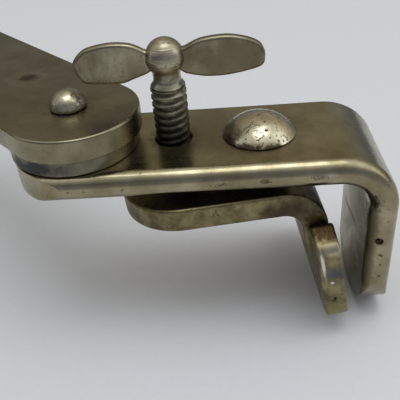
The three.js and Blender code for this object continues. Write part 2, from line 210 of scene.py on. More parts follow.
def slab(outline: list[Point], thick: float, low: float = 0.0, ease: float = 0.0,
         segments: int = 5) -> Mesh:
    """Makes a flat plate from an outline.

    Args:
        outline: corner points in XY.
        thick: plate thickness.
        low: height of its underside.
        ease: radius worked on both rims, 0 for sharp ones.
        segments: flats in that radius.

    Returns:
        A new mesh with the plate.
    """
    bm = bmesh.new()
    face = bm.faces.new([bm.verts.new((x, y, 0)) for x, y in outline])
    made = bmesh.ops.extrude_face_region(bm, geom=[face])["geom"]
    bmesh.ops.translate(bm, verts=only(Vert, made), vec=(0, 0, thick))
    bmesh.ops.recalc_face_normals(bm, faces=bm.faces)
    if ease:
        rims = [e for e in bm.edges if abs(e.verts[0].co.z - e.verts[1].co.z) < thick / 2]
        bmesh.ops.bevel(bm, geom=rims, offset=ease, offset_type="OFFSET", affect="EDGES",
                        segments=segments, profile=0.5, material=-1, clamp_overlap=False)
    bmesh.ops.translate(bm, verts=bm.verts, vec=(0, 0, low))
    return bm


def unit_ring(count: int) -> list[Point]:
    """Points of a circle of radius 1, none of them on an axis."""
    angles = [2 * math.pi * (i + 0.5) / count for i in range(count)]
    return [(-math.sin(angle), math.cos(angle)) for angle in angles]


def rounded(corners: list[Point3], steps: int = 7) -> list[Point]:
    """Rounds the corners of a polygon.

    Args:
        corners: x, y and how far from the corner its curve starts, for each corner in order.
        steps: points in each curve.

    Returns:
        The outline's points.
    """
    points: list[Point] = []
    for i, (x, y, reach) in enumerate(corners):
        here = Vector((x, y))
        before = here + (Vector(corners[i - 1][:2]) - here).normalized() * reach
        after = here + (Vector(corners[(i + 1) % len(corners)][:2]) - here).normalized() * reach
        for k in range(steps + 1):
            t = k / steps
            spot = before * (1 - t) ** 2 + here * 2 * t * (1 - t) + after * t * t
            points.append((spot.x, spot.y))
    return points


def flowing(points: tuple[Point, ...], steps: int = 4) -> list[Point]:
    """Runs a smooth curve through the points of an open line.

    Args:
        points: given points.
        steps: spans between two of them.

    Returns:
        The curve's points, both ends included.
    """
    ends = [points[0], *points, points[-1]]
    curve: list[Point] = []
    for a, b, c, d in zip(ends, ends[1:], ends[2:], ends[3:]):
        for k in range(steps):
            t = k / steps
            curve.append(tuple(
                0.5 * (2 * b[i] + (c[i] - a[i]) * t
                       + (2 * a[i] - 5 * b[i] + 4 * c[i] - d[i]) * t * t
                       + (3 * b[i] - a[i] - 3 * c[i] + d[i]) * t ** 3) for i in (0, 1)))
    return [*curve, points[-1]]


def cap_line(radius: float, height: float, base: float, steps: int) -> list[Point]:
    """Profile of a domed cap from its rim to the axis.

    Args:
        radius: rim radius.
        height: rise of the dome, negative for one that hangs down.
        base: height of the rim.
        steps: spans along the dome.

    Returns:
        Points of (radius, height), the last one on the axis.
    """
    ball = (radius ** 2 + height ** 2) / (2 * abs(height))
    opening = math.asin(min(1.0, radius / ball))
    if abs(height) > radius:
        opening = math.pi - opening
    line: list[Point] = []
    for i in range(steps + 1):
        angle = opening * (1 - i / steps)
        rise = ball * (math.cos(angle) - math.cos(opening)) * math.copysign(1, height)
        line.append((0.0 if i == steps else ball * math.sin(angle), base + rise))
    return line


def solid(name: str, bm: Mesh) -> Piece:
    """Turns a finished bmesh into an object, normals outward.

    Args:
        name: object name.
        bm: mesh in millimetres; it is freed.

    Returns:
        The linked object, still in millimetres.
    """
    bmesh.ops.recalc_face_normals(bm, faces=bm.faces)
    mesh = bpy.data.meshes.new(name)
    bm.to_mesh(mesh)
    bm.free()
    piece = bpy.data.objects.new(name, mesh)
    bpy.context.scene.collection.objects.link(piece)
    return piece


def carve(piece: Piece, tool: Piece, how: Cut) -> None:
    """Cuts or joins a piece with a tool, and takes the tool away.

    Args:
        piece: object that is changed.
        tool: the other solid.
        how: what the tool does.
    """
    step = piece.modifiers.new("carve", "BOOLEAN")
    step.operation, step.solver, step.object = how.value, "EXACT", tool
    bpy.context.view_layer.update()
    depsgraph = bpy.context.evaluated_depsgraph_get()
    mesh = bpy.data.meshes.new_from_object(piece.evaluated_get(depsgraph))
    piece.modifiers.clear()
    old, piece.data = piece.data, mesh
    bpy.data.meshes.remove(old)
    bpy.data.objects.remove(tool)


def drop_slivers(piece: Piece) -> None:
    """Takes out the faces without area that a join can leave.

    Args:
        piece: object in millimetres.
    """
    bm = bmesh.new()
    bm.from_mesh(piece.data)
    bmesh.ops.dissolve_degenerate(bm, edges=bm.edges, dist=WELD)
    bm.to_mesh(piece.data)
    bm.free()


def drill(piece: Piece, profile: list[Point], place: Matrix) -> None:
    """Cuts a turned hole.

    Args:
        piece: object that gets the hole.
        profile: the drill's (radius, height) points, from axis to axis.
        place: where the drill's Z axis goes.
    """
    tool = solid("drill", lathe(profile, DRILL_FLATS))
    tool.data.transform(place)
    carve(piece, tool, Cut.REMOVE)


def straight(radius: float, low: float, high: float) -> list[Point]:
    """Profile of a plain round rod between two heights."""
    return [(0, low), (radius, low), (radius, high), (0, high)]


def tongue(centre: float, reach: float, half: float, low: float, high: float, side: int) -> Piece:
    """Cutter whose plan is a half ellipse with long straight sides.

    Args:
        centre: x of the ellipse's middle.
        reach: its radius along X.
        half: its radius along Y.
        low: lowest z.
        high: highest z.
        side: -1 when the round end points to -X, +1 when it points to +X.

    Returns:
        The cutter.
    """
    outline = [(centre + x * reach - (CUTTER_RUN * side if x * side < 0 else 0), y * half)
               for x, y in unit_ring(CUTTER_FLATS)]
    return solid("cutter", slab(outline, high - low, low))


def settle(piece: Piece, place: Matrix, corner: float, ease: float = 0.0) -> None:
    """Sets a piece in the frame, breaks its sharp edges and smooths its shading.

    Args:
        piece: object in millimetres, in its own axes.
        place: turn and shift to the frame, in millimetres.
        corner: least angle that counts as sharp, in degrees.
        ease: radius on the sharp edges, 0 to leave them.
    """
    piece.data.transform(Matrix.Scale(MM, 4) @ place)
    piece.data.polygons.foreach_set("use_smooth", [True] * len(piece.data.polygons))
    if ease:
        edge = piece.modifiers.new("ease", "BEVEL")
        edge.width, edge.segments, edge.profile = ease * MM, EASE_FLATS, 0.5
        edge.limit_method, edge.angle_limit = "ANGLE", math.radians(corner)
        edge.offset_type, edge.use_clamp_overlap = "OFFSET", True
        edge.miter_outer = "MITER_ARC"
    else:
        piece.data.set_sharp_from_angle(angle=math.radians(corner))
    normal = piece.modifiers.new("even", "WEIGHTED_NORMAL")
    normal.keep_sharp, normal.weight = True, NORMAL_WEIGHT


# ---- finishes ----
def colour(code: str) -> tuple[float, float, float, float]:
    """Linear RGBA of an sRGB hex code."""
    parts = [int(code[i:i + 2], 16) / 255 for i in (1, 3, 5)]
    return (*(p / 12.92 if p <= 0.04045 else ((p + 0.055) / 1.055) ** 2.4 for p in parts), 1.0)


class Graph:
    """Node tree of a material or a world, filled from empty."""

    def __init__(self, owner: bpy.types.Material | bpy.types.World) -> None:
        """Takes over the owner's tree and empties it.

        Args:
            owner: what the tree belongs to.
        """
        owner.use_nodes = True
        self.tree = owner.node_tree
        self.tree.nodes.clear()

    def add(self, kind: str, links: dict[Any, Any] | None = None,
            **settings: Any) -> bpy.types.Node:
        """Adds a node, gives it its settings and links its inputs.

        Args:
            kind: node type without the ShaderNode prefix.
            links: input name or number to a socket or a plain value.
            **settings: properties of the node.

        Returns:
            The node.
        """
        node = self.tree.nodes.new("ShaderNode" + kind)
        for key, value in settings.items():
            setattr(node, key, value)
        for key, value in (links or {}).items():
            if isinstance(value, Socket):
                self.tree.links.new(value, node.inputs[key])
            else:
                node.inputs[key].default_value = value
        return node

    def noise(self, where: Socket, scale: float, detail: float, rough: float = 0.5) -> Socket:
        """Noise of 0 to 1, from its cells in a metre, octaves and weight of the fine ones."""
        return self.add("TexNoise", {"Vector": where, "Scale": scale, "Detail": detail,
                                     "Roughness": rough}).outputs["Fac"]

    def remap(self, value: Socket, span: Point, onto: Point = (0.0, 1.0)) -> Socket:
        """Carries one span of numbers onto another and holds it at both ends."""
        ends = {"From Min": span[0], "From Max": span[1], "To Min": onto[0], "To Max": onto[1]}
        return self.add("MapRange", {"Value": value, **ends}).outputs["Result"]

    def reckon(self, operation: str, *terms: Any) -> Socket:
        """Works out one operation on sockets or plain numbers."""
        return self.add("Math", dict(enumerate(terms)), operation=operation).outputs["Value"]

    def mix(self, amount: Any, first: Any, second: Any) -> Socket:
        """Goes from the first colour to the second."""
        return self.add("Mix", {0: amount, 6: first, 7: second}, data_type="RGBA").outputs[2]

    def blend(self, amount: Any, first: Any, second: Any) -> Socket:
        """Goes from the first number to the second."""
        return self.add("Mix", {0: amount, 2: first, 3: second}, data_type="FLOAT").outputs[0]

    def dress(self, inputs: dict[str, Any]) -> None:
        """Ends a material in one principled shader."""
        shader = self.add("BsdfPrincipled", inputs)
        self.add("OutputMaterial", {"Surface": shader.outputs["BSDF"]})


@dataclass(frozen=True)
class Stain:
    """A local patch on a finish, in millimetres: dirt, rust, bare metal or painted light and
    shade.
    """

    spot: Point3
    reach: Point3
    tint: str
    strength: float = 0.8
    grain: float = 900.0
    roughness: float = 0.6
    turn: Point3 = (0.0, 0.0, 0.0)  # degrees
    ragged: float = 1.5  # how far the grain eats into the rim
    fade: float = 0.6  # share of the reach over which it dies out

    def mask(self, graph: Graph, where: Socket) -> Socket:
        """Full near the stain's spot, ragged toward its reach.

        Args:
            graph: what takes the nodes.
            where: the position socket.

        Returns:
            The mask's socket, 0 to the stain's strength.
        """
        local = graph.add("Mapping", {
            "Vector": where, "Location": tuple(s * MM for s in self.spot),
            "Rotation": tuple(math.radians(a) for a in self.turn),
            "Scale": tuple(r * MM for r in self.reach)}, vector_type="TEXTURE")
        far = graph.add("VectorMath", {0: local.outputs["Vector"]}, operation="LENGTH")
        grain = graph.noise(where, self.grain, 5.0, 0.6)
        edge = graph.reckon("MULTIPLY_ADD", grain, self.ragged, far.outputs["Value"])
        rim = 1.0 + self.ragged / 2
        return graph.remap(edge, (rim, rim - self.fade), (0.0, self.strength))


@dataclass(frozen=True)
class WornPlate:
    """Old nickel plate on steel, tumbled smooth and then dulled by handling.

    Warm olive-grey metal with soft broad mottling, brown specks where the steel rusts through,
    and hairline scratches that only show in the highlights. Some stains paint in shade and light.
    """

    name: str
    light: str = "#a89f84"
    deep: str = "#7f7659"
    speck: str = "#43331f"
    roughness: float = 0.21
    mottle: float = 190.0  # 5 mm patches
    speck_size: float = 1500.0  # 0.7 mm specks, drawn a little coarse so that they show
    speck_amount: float = 0.36
    speck_roughness: float = 0.62
    scratch: Point3 = (250.0, 5000.0, 5000.0)  # lines 0.2 mm wide, a few mm long
    swell: float = 700.0  # 1.4 mm unevenness
    dent: float = 0.012  # its depth, in mm
    rings: float = 0.0  # depth of turning marks round the Z axis, in mm
    ring_scale: Point3 = (30.0, 30.0, 3200.0)  # marks 0.3 mm apart
    stains: tuple[Stain, ...] = ()

    def make(self) -> bpy.types.Material:
        """Builds the material.

        Returns:
            The material, patterned on Object coordinates.
        """
        material = bpy.data.materials.new(self.name)
        graph = Graph(material)
        where = graph.add("TexCoord").outputs["Object"]
        mottle = graph.noise(where, self.mottle, 5.0, 0.62)
        specks = self.specks(graph, where)
        soft = graph.remap(mottle, (0.34, 0.68))
        tint = graph.mix(soft, colour(self.deep), colour(self.light))
        tint = graph.mix(specks, tint, colour(self.speck))
        rough = self.sheen(graph, where, mottle, specks)
        for stain in self.stains:
            mask = stain.mask(graph, where)
            tint = graph.mix(mask, tint, colour(stain.tint))
            rough = graph.blend(mask, rough, stain.roughness)
        normal = self.relief(graph, where, specks)
        graph.dress({"Base Color": tint, "Roughness": rough, "Metallic": 1.0, "Normal": normal})
        return material

    def specks(self, graph: Graph, where: Socket) -> Socket:
        """Mask of the rust specks, which gather in clouds.

        Args:
            graph: what takes the nodes.
            where: the position socket.

        Returns:
            The mask's socket, 0 to 1.
        """
        cloud = graph.noise(where, self.mottle * 0.37, 3.0)
        fine = graph.noise(where, self.speck_size, 4.0, 0.55)
        more = self.speck_amount * 0.45
        return graph.reckon("MULTIPLY", graph.remap(fine, (0.80 - more, 0.88 - more)),
                            graph.remap(cloud, (0.4, 0.66)))

    def sheen(self, graph: Graph, where: Socket, mottle: Socket, specks: Socket) -> Socket:
        """Roughness: duller specks and mottles, and fine scratches.

        Args:
            graph: what takes the nodes.
            where: the position socket.
            mottle: the broad noise.
            specks: the specks' mask.

        Returns:
            The roughness socket.
        """
        rough = graph.blend(specks, self.roughness, self.speck_roughness)
        drawn = graph.add("Mapping", {"Vector": where, "Scale": self.scratch}).outputs["Vector"]
        hairlines = graph.remap(graph.noise(drawn, 1.0, 2.0), (0.3, 0.75), (-0.05, 0.09))
        broad = graph.remap(mottle, (0.3, 0.7), (0.09, -0.05))
        return graph.reckon("ADD", graph.reckon("ADD", rough, hairlines), broad)

    def relief(self, graph: Graph, where: Socket, specks: Socket) -> Socket:
        """Faint unevenness, pits under the specks and any turning marks.

        Args:
            graph: what takes the nodes.
            where: the position socket.
            specks: the specks' mask.

        Returns:
            The normal socket.
        """
        height = graph.reckon("SUBTRACT", graph.noise(where, self.swell, 4.0), specks)
        normal = graph.add("Bump", {"Height": height, "Strength": 0.6,
                                    "Distance": self.dent * MM}).outputs["Normal"]
        if self.rings:
            band = graph.add("Mapping", {"Vector": where, "Scale": self.ring_scale})
            turned = graph.noise(band.outputs["Vector"], 1.0, 3.0)
            normal = graph.add("Bump", {"Height": turned, "Normal": normal,
                                        "Distance": self.rings * MM}).outputs["Normal"]
        return normal


# ---- this clamp's finishes ----
# Near-black serves for grime and for painted shade; the pale tint for flakes and for painted
# highlights.
GRIME_AND_SHADE, FLAKE_AND_HIGHLIGHT = "#1d1a15", "#c9c7bd"

# The strap's plate; some of its stains are painted shade, painted highlights and a painted
# reflection on the leg.
AGED_AND_PAINTED_LIGHT = WornPlate("aged_nickel_plate_and_painted_light", roughness=0.17, stains=(
    Stain((-25.0, 0, 17.0), (24.0, 9.0, 0.6), "#918969", 0.6, 300, 0.42, ragged=1.0),
    Stain((-25.75, 0, 17.0), (4.2, 4.2, 0.5), "#4a3018", 0.75, 900),
    Stain((-14.0, -1.0, 17.0), (6.6, 6.4, 0.4), "#5a4a35", 0.6, 700),
    Stain((-20.0, 0.0, 17.0), (9.0, 7.0, 0.5), "#5c4c38", 0.45, 260, 0.34),
    Stain((0.4, -8.6, 6.5), (1.5, 1.6, 5.5), "#8d8468", 0.8, 900, 0.75, ragged=1.2),
    # Painted shade: near-black down the leg's inner front corner and under the bend, beside the
    # jaw pad.
    Stain((0.2, -8.9, 10.6), (1.1, 1.3, 1.6), GRIME_AND_SHADE, 0.85, 2000, ragged=2.6),
    Stain((0.0, -7.6, 8.0), (0.7, 0.9, 3.2), GRIME_AND_SHADE, 0.55, 2200, 0.6, (8, 0, 0), 2.4),
    Stain((0.3, -8.7, -0.5), (1.3, 1.5, 6.0), "#a69c7c", 0.75, 700, 0.8),
    # Painted highlight: a pale streak down the leg's inner front corner.
    Stain((0.0, -7.4, 9.8), (0.6, 0.9, 2.2), FLAKE_AND_HIGHLIGHT, 0.9, 1600, 0.3, (10, 0, 0), 1.6),
    Stain((0.0, 0.0, 4.0), (0.5, 10.0, 14.0), "#6e6040", 0.5, 500, 0.4),
    # Painted reflection: a dark line across the leg's inner face where the jaw pad's edge is
    # mirrored.
    Stain((0.0, 1.6, 1.1), (0.4, 5.6, 0.28), "#2b241b", 0.8, 900, 0.5, (-4, 0, 0), 0.6),
    Stain((-5.6, -9.5, 15.5), (1.0, 0.6, 0.3), FLAKE_AND_HIGHLIGHT, 0.4, 3500, 0.3, ragged=4.0),
    *(Stain((x, -9.5, z), (wide, 0.6, high), "#3a3022", strength, 3500, ragged=4.0)
      for x, z, wide, high, strength in (
          (-7.2, 15.2, 1.3, 0.4, 0.5), (-13.9, 15.1, 0.9, 0.35, 0.6),
          (-19.8, 15.0, 1.3, 0.3, 0.6))),
    Stain((1.67, -9.5, 1.9), (0.4, 0.4, 0.3), "#2b2016", 0.8, 2600, 0.5),
    Stain((1.86, -9.5, 0.1), (0.25, 0.4, 0.25), "#3a2c1c", 0.7, 2600, 0.5),
    Stain((1.94, -9.5, -2.0), (0.3, 0.4, 0.3), "#3a2c1c", 0.7, 2600, 0.5),
    # Painted shade: near-black inside the pit in the leg's edge.
    Stain((1.35, -9.0, 4.25), (0.62, 0.7, 0.62), "#15120e", 0.97, ragged=0.2),
))
JAW = WornPlate("aged_nickel_jaw_and_painted_light", light="#978d68", deep="#5d5339", roughness=0.33,
                mottle=420.0, speck_amount=0.5, stains=(
    # Painted shade: the lever's top and front edge darker where they lie under the strap.
    Stain((-10.0, -4.0, 9.6), (6.0, 9.0, 2.2), "#3a352c", 0.85, 700, 0.5),
    Stain((-10.0, -8.6, 8.6), (5.0, 1.6, 3.2), "#4b4234", 0.7, 900, 0.45, ragged=0.8),
    Stain((-6.0, -9.6, 7.2), (3.0, 3.2, 2.4), "#3d2b1a", 0.92, 900, 0.5),
    # Painted shade: the pad's back face darker.
    Stain((-8.0, -6.0, 0.0), (1.6, 10.0, 9.0), "#564a3a", 0.55, 500, 0.5, ragged=2.0),
    # Painted highlights: near-white lines down both rounded edges of the pad's front rim.
    *(Stain((x, -12.2, z), (0.3, 0.9, 3.2), "#f4f3ec", 0.7, 1500, 0.2, (0, -10.7, 0), 0.4)
      for x, z in ((-6.55, 2.9), (-3.75, 2.6))),
    # Painted highlight: a pale patch where the pad's shoulder turns down.
    Stain((-5.2, -12.0, 5.2), (2.2, 1.4, 1.1), "#cdc6a8", 0.6, 900, 0.3, ragged=0.8),
    # Painted reflection: a dark blue-grey patch on the pad's rim for the dim room, with a painted
    # glint in it.
    Stain((-5.0, -12.2, 1.2), (1.7, 0.9, 1.7), "#50545c", 0.8, 1300, 0.3, ragged=2.2),
    Stain((-5.1, -12.3, -0.4), (0.4, 0.6, 0.3), "#e6e6ea", 0.9, 2600, 0.25),
    Stain((-4.6, -12.2, -3.5), (0.3, 0.5, 0.7), "#1f1a13", 0.9, 2600),
    # Painted reflection: the pale table, yellowish on the lower part of the pad's rim.
    Stain((-4.5, -12.2, -6.5), (3.0, 1.5, 2.6), "#8e8a5c", 0.6, 700, 0.3),
))
DULL = WornPlate("dull_nickel_arm", light="#938c74", deep="#736c54", roughness=0.26,
                 speck_amount=0.22, stains=(
    # Painted highlight: a lighter ring, for the lit rim of a dimple that the arm's mesh lacks,
    # round a dark mark.
    Stain((-47.6, 10.7, 22.6), (3.6, 3.2, 0.5), "#a39a83", 0.5, 900, 0.4),
    Stain((-47.6, 10.7, 22.6), (2.3, 2.0, 0.5), "#332018", 0.85, 1500, ragged=1.0),
    Stain((-39.4, 0, 22.6), (4.0, 4.0, 0.4), "#55493a", 0.6, 700, 0.4),
))
LEAF = WornPlate("dull_nickel_wings", light="#a39c84", deep="#776f58", roughness=0.27,
                 speck_amount=0.4, speck_size=1700.0, scratch=(5000.0, 5000.0, 260.0), stains=(
    Stain((-17.5, 0, 28.3), (8.0, 3.0, 4.5), "#5f573f", 0.62, 500, 0.4),
))
DOME = WornPlate("polished_nickel_dome", light="#d6ceb3", deep="#958b6e", speck="#5a4128",
                 roughness=0.19, speck_amount=0.52, speck_size=2000.0, dent=0.05, stains=(
    Stain((-18.0, -1.2, 18.0), (2.4, 3.4, 1.3), "#4d3f2a", 0.8, 900),
    Stain((-18.2, -2.8, 17.2), (1.8, 2.6, 0.9), "#33271a", 0.9, 1500),
    Stain((-16.0, -4.6, 17.2), (3.0, 1.3, 0.8), "#33271a", 0.9, 1500),
    Stain((-12.6, -4.9, 17.2), (3.0, 1.1, 0.6), "#3f2c18", 0.9, 1500),
    Stain((-13.5, -1.0, 19.4), (1.4, 0.8, 0.6), "#5a4522", 0.5, 2200),
))
KNOB = WornPlate("pitted_nickel_rivet", light="#c6bfa9", deep="#7f775f", speck="#5a4c38",
                 roughness=0.24, mottle=600.0, speck_amount=0.66, speck_size=2600.0, dent=0.11)
SCREW = WornPlate("grimy_nickel_screw_and_painted_shade", light="#d2cbb6", deep="#9a927b", roughness=0.24,
                  speck_amount=0.4, scratch=(300.0, 300.0, 5000.0), rings=0.08, stains=(
    # Painted shade and grime: darker towards the thread's foot, reaching up into the ball's
    # underside.
    Stain((-25.75, 0, 19.2), (6.4, 6.4, 10.0), "#4b4538", 0.88, 900, 0.45, ragged=0.8),
    Stain((-25.75, 0, 15.6), (6.0, 6.0, 7.5), GRIME_AND_SHADE, 0.93, 1300, 0.55, ragged=0.8),
))
STEEL = WornPlate("oxidised_steel_washer_and_painted_shade", light="#85806c", deep="#66614f", speck="#241f1a",
                  roughness=0.34, speck_amount=0.3, stains=(
    # Painted shade: the arm washer's front darker, under the arm.
    Stain((-43.0, -8.0, 18.0), (7.0, 5.0, 1.5), "#3b3e44", 0.85, 600),
))


# ---- sub-assemblies ----
@dataclass
class Workshop:
    """Hands each finished piece to its body, CAD node and material slot."""

    made: int = 0

    def deliver(self, piece: Piece, node: str, body: str,
                material: bpy.types.Material) -> None:
        """Dresses a piece and makes it stand for its CAD node.

        Args:
            piece: finished object.
            node: CAD node that it replaces.
            body: body that carries it.
            material: what it is dressed in.
        """
        piece.data.materials.clear()
        piece.data.materials.append(material)
        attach(piece, body)
        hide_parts(node)
        self.made += 1
        LOG.info("%s: %d faces, on %s, %s", piece.name, len(piece.data.polygons), body,
                 material.name)


@dataclass(frozen=True)
class Rivet:
    """Dome-headed rivet with a low peened foot, its shank's lower end at z = 0."""

    shank: float
    foot: float
    foot_drop: float
    under: tuple[Point, ...]  # the head's rolled rim: radius, height over the grip
    head: float
    head_lift: float
    head_rise: float
    flats: int
    dome_steps: int
    foot_steps: int = 8

    def build(self, name: str, grip: float, place: Matrix) -> Piece:
        """Turns the rivet.

        Args:
            name: object name.
            grip: height of the face that the head sits on.
            place: shift of the shank's lower end to the frame.

        Returns:
            The rivet in the frame.
        """
        foot = cap_line(self.foot, -self.foot_drop, 0.0, self.foot_steps)
        rim = [(radius, grip + lift) for radius, lift in self.under]
        dome = cap_line(self.head, self.head_rise, grip + self.head_lift, self.dome_steps)
        line = [*reversed(foot), (self.shank, 0.0), (self.shank, grip), *rim, *dome]
        piece = solid(name, lathe(line, self.flats))
        settle(piece, place, corner=40)
        return piece


@dataclass
class Strap:
    """The bent bar with its hook, from full-round steel strip."""

    width: float = 19.05
    thick: float = STRAP_THICK
    top: float = STRAP_TOP
    round_play: float = 0.001  # keeps the edge's two curves from meeting in a point
    bend_inner: float = 4.3
    bend_steps: int = 28
    blank_end: float = -52.0  # the raw bar runs past both rounded ends
    blank_tip: float = -14.0
    end_x: float = -38.7  # middle of the rounded end
    end_radius: float = 9.2
    end_span: Point = (-20.0, 25.0)  # what its cutter covers
    tip_z: float = -1.9  # middle of the leg's rounded tip
    tip_radius: float = 9.3
    tip_span: Point = (-60.0, 20.0)
    side_play: float = 0.03  # keeps the end cutters off the bar's edges
    screw_hole: float = 2.46
    sink: float = 0.2  # depth of the countersink round the screw
    sink_over: float = 0.25  # how far its cutter stands out
    pit: tuple[Point, ...] = ((0, -1), (0.62, -1), (0.55, 0.25), (0.42, 0.6), (0, 0.75))
    pit_spot: Point = (1.35, 4.25)  # x and z on the leg's edge
    ease: float = 0.14

    def build(self) -> Piece:
        """Makes the bar, rounds its ends and drills it.

        Returns:
            The strap.
        """
        strap = solid("hook_strap_bar", self.bar())
        half = self.width / 2 + self.side_play
        carve(strap, tongue(self.end_x, self.end_radius, half, *self.end_span, -1),
              Cut.KEEP_INSIDE)
        tip = tongue(-self.tip_z, self.tip_radius, half, *self.tip_span, 1)
        tip.data.transform(spun(90, "Y"))
        carve(strap, tip, Cut.KEEP_INSIDE)
        self.bore(strap)
        settle(strap, Matrix(), corner=26, ease=self.ease)
        return strap

    def bar(self) -> Mesh:
        """Sweeps the full-round section along the top, round the bend and down the leg.

        Returns:
            The raw bar.
        """
        outer = self.bend_inner + self.thick
        bend_x, bend_z = self.thick - outer, self.top - outer
        bm = bmesh.new()
        loop = bar_section(bm, self.width, self.thick, self.thick / 2 - self.round_play)
        bmesh.ops.translate(bm, verts=bm.verts,
                            vec=(self.blank_end, 0, self.top - self.thick / 2))
        loop = push(bm, loop, (bend_x - self.blank_end, 0, 0))
        loop = bend(bm, loop, (bend_x, 0, bend_z), 90, self.bend_steps)
        push(bm, loop, (0, 0, -bend_z + self.blank_tip))
        close_ends(bm)
        return bm

    def bore(self, strap: Piece) -> None:
        """Drills the screw's hole, the two rivets' holes and the pit in the leg's edge.

        Args:
            strap: the bar with its rounded ends.
        """
        low, high = self.top - self.thick - PAST, self.top + PAST
        mouth = self.top + self.sink_over
        drill(strap, [(0, low), (self.screw_hole, low), (self.screw_hole, self.top - self.sink),
                      (self.screw_hole + self.sink + self.sink_over, mouth), (0, mouth)],
              at(SCREW_X))
        drill(strap, straight(FULCRUM_HOLE, low, high), at(FULCRUM_X))
        drill(strap, straight(PIVOT_HOLE, low, high), at(PIVOT_X))
        x, z = self.pit_spot
        drill(strap, list(self.pit),
              Matrix.Translation((x, -self.width / 2, z)) @ spun(-90, "X"))


@dataclass
class SwingArm:
    """The flat arm, its washer and the small dome-headed rivet that it turns on."""

    width: float = 18.15
    thick: float = 3.35
    ease: float = 0.36
    under: float = 19.25
    heading: float = 133.5
    outline_flats: int = 160
    end_radius: float = 9.1
    end_shift: float = 0.7  # the near end's middle lies behind the pivot
    reach: float = 50.0
    hole: float = 2.6
    drill_top: float = 5.0
    washer_radius: float = 8.85
    washer_thick: float = 2.15
    washer_ease: float = 0.22
    washer_curl: float = 0.07
    pin: Rivet = Rivet(shank=1.59, foot=2.7, foot_drop=1.1, under=((2.3, 0.0), (2.47, 0.06)),
                       head=2.5, head_lift=0.12, head_rise=2.3, flats=72, dome_steps=20)

    def arm(self) -> Piece:
        """Flat bar with eased edges, two round ends and two holes.

        Returns:
            The arm in the frame.
        """
        half = self.width / 2
        outline = [((self.reach if x > 0 else -self.end_shift) + x * self.end_radius, y * half)
                   for x, y in unit_ring(self.outline_flats)]
        piece = solid("swing_arm_bar", slab(outline, self.thick, ease=self.ease))
        for radius, x in ((PIVOT_HOLE, 0.0), (self.hole, self.reach)):
            drill(piece, straight(radius, -PAST, self.drill_top), at(x))
        settle(piece, at(PIVOT_X, self.under) @ spun(self.heading, "Z"), corner=40)
        return piece

    def washer(self) -> Piece:
        """Plain punched washer between strap and arm, its rims eased.

        Returns:
            The washer in the frame.
        """
        r, t = self.washer_radius, self.washer_thick
        ease, curl = self.washer_ease, self.washer_curl
        line = [(PIVOT_HOLE, 0), (r - ease, 0), (r - curl, curl), (r, ease), (r, t - ease),
                (r - curl, t - curl), (r - ease, t), (PIVOT_HOLE, t), (PIVOT_HOLE, 0)]
        piece = solid("arm_washer_ring", lathe(line, 144))
        settle(piece, at(PIVOT_X, STRAP_TOP), corner=38)
        return piece

    def rivet(self) -> Piece:
        """The pivot's rivet, from under the strap to the arm's top."""
        foot = STRAP_TOP - STRAP_THICK
        return self.pin.build("pivot_rivet_dome", self.under + self.thick + PLAY - foot,
                              at(PIVOT_X, foot))


